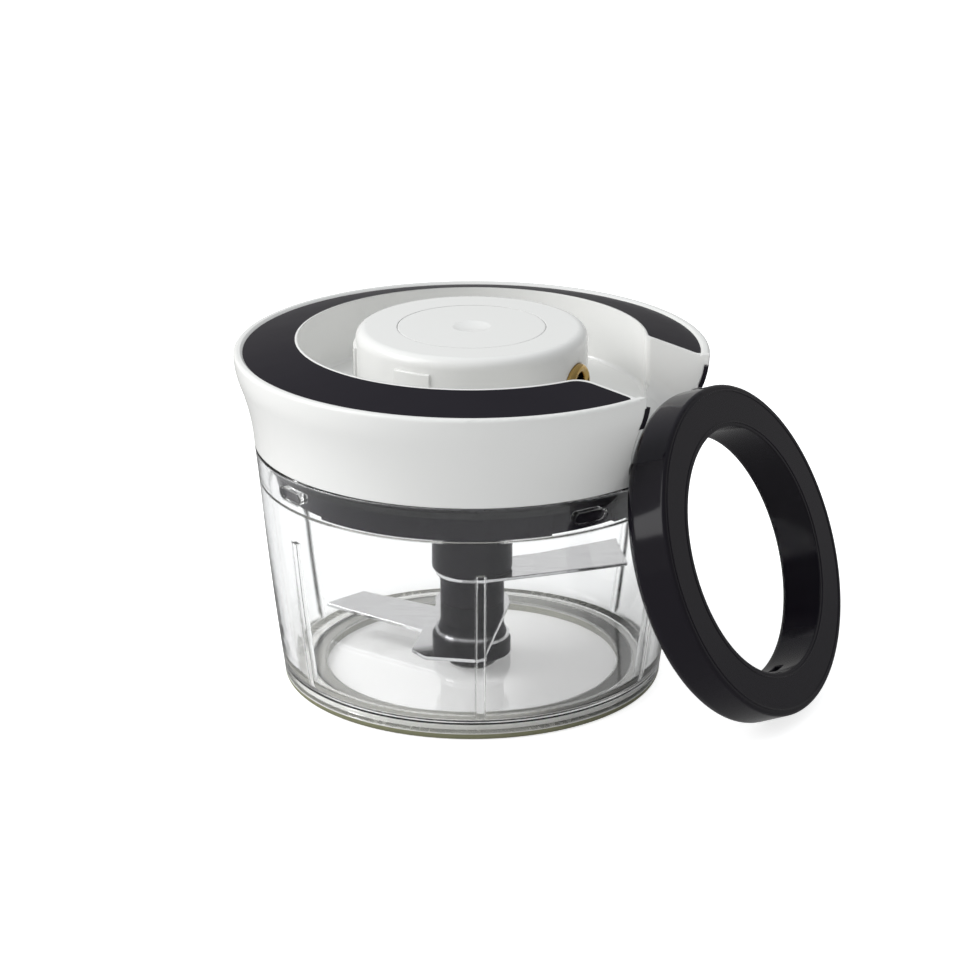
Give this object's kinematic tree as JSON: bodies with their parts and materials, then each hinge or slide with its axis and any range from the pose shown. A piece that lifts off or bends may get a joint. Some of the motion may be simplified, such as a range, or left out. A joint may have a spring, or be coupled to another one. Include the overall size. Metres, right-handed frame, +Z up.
{
  "type": "pull-string food chopper",
  "caption": "Hand food chopper: clear tapered bowl with a blade column, and a flared lid whose cord spool is pulled by a ring handle leaning on the mouth of the lid.",
  "frame": {"origin": "middle of the face of the base ring that the bowl stands on, on the bowl's axis", "axes": "+Z up along the axis of the bowl, blades and lid; the pictured front faces -Y; the cord leaves the lid 26.5 degrees from +X towards -Y"},
  "size_m": [0.2051, 0.1656, 0.1219],
  "materials": {
    "lid_white": "moulded, glossy",
    "clear_bowl": "clear, glossy",
    "dark_matt": "fine satin",
    "ring_black": "polished",
    "eyelet_brass": "polished",
    "blade_steel": "polished",
    "pin_steel": "turned",
    "spring_steel": "tempered strip",
    "screw_steel": "zinc plated",
    "foot_rubber": "soft matt",
    "seal_rubber": "soft satin",
    "inner_nylon": "moulded nylon",
    "drive_nylon": "moulded nylon",
    "bush_bronze": "sintered"
  },
  "bodies": {
    "bowl": {"bowl": "clear_bowl", "base_ring": "foot_rubber", "centre_pin": "pin_steel"},
    "blades": {"blade_hub": "dark_matt", "upper_blade": "blade_steel", "middle_blade": "blade_steel", "lower_blade": "blade_steel", "upper_spacer": "dark_matt", "lower_spacer": "dark_matt", "column_foot": "dark_matt"},
    "lid": {"lid_shell": "lid_white", "turret_cap": "lid_white", "rim_inlay": "dark_matt", "mouth_trim": "dark_matt", "cord_eyelet": "eyelet_brass", "lid_base": "dark_matt", "seal_ring": "seal_rubber", "mechanism_plate": "inner_nylon", "mechanism_screws": "screw_steel", "base_screws": "screw_steel", "spool_axle": "pin_steel", "spring_cover": "inner_nylon", "recoil_spring": "spring_steel", "coupler_bush": "bush_bronze"},
    "spool": {"cord_spool": "inner_nylon"},
    "pawl_a": {"ratchet_pawl_a": "pin_steel"},
    "pawl_b": {"ratchet_pawl_b": "pin_steel"},
    "drive": {"drive_coupler": "drive_nylon"},
    "handle": {"handle_body": "ring_black", "handle_cover": "ring_black"}
  },
  "joints": [
    {"name": "lid_lift", "type": "slide", "parent": "bowl", "child": "lid", "axis": [0, 0, 1], "range_m": [0, 0.06]},
    {"name": "handle_pull", "type": "slide", "parent": "lid", "child": "handle", "axis": [0.8949, -0.4462, 0], "range_m": [0, 0.45], "stiffness_N_per_m": 10},
    {"name": "spool_turn", "type": "hinge", "parent": "lid", "child": "spool", "pos_m": [0, 0, 0.106], "axis": [0, 0, 1], "range_deg": [0, 1440]},
    {"name": "drive_turn", "type": "hinge", "parent": "lid", "child": "drive", "pos_m": [0, 0, 0.09], "axis": [0, 0, 1], "range_deg": [0, 1440]},
    {"name": "blade_turn", "type": "hinge", "parent": "bowl", "child": "blades", "pos_m": [0, 0, 0.04], "axis": [0, 0, 1], "range_deg": [0, 1440]},
    {"name": "pawl_a_swing", "type": "hinge", "parent": "spool", "child": "pawl_a", "pos_m": [0.02, 0, 0.097], "axis": [0, 0, 1], "range_deg": [0, 12], "stiffness_Nm_per_rad": 0.002},
    {"name": "pawl_b_swing", "type": "hinge", "parent": "spool", "child": "pawl_b", "pos_m": [-0.02, 0, 0.097], "axis": [0, 0, 1], "range_deg": [0, 12], "stiffness_Nm_per_rad": 0.002}
  ],
  "couplings": [
    {"joint": "spool_turn", "follows": "handle_pull", "rad_per_m": 55.556},
    {"joint": "drive_turn", "follows": "handle_pull", "rad_per_m": 55.556},
    {"joint": "blade_turn", "follows": "handle_pull", "rad_per_m": 55.556}
  ]
}
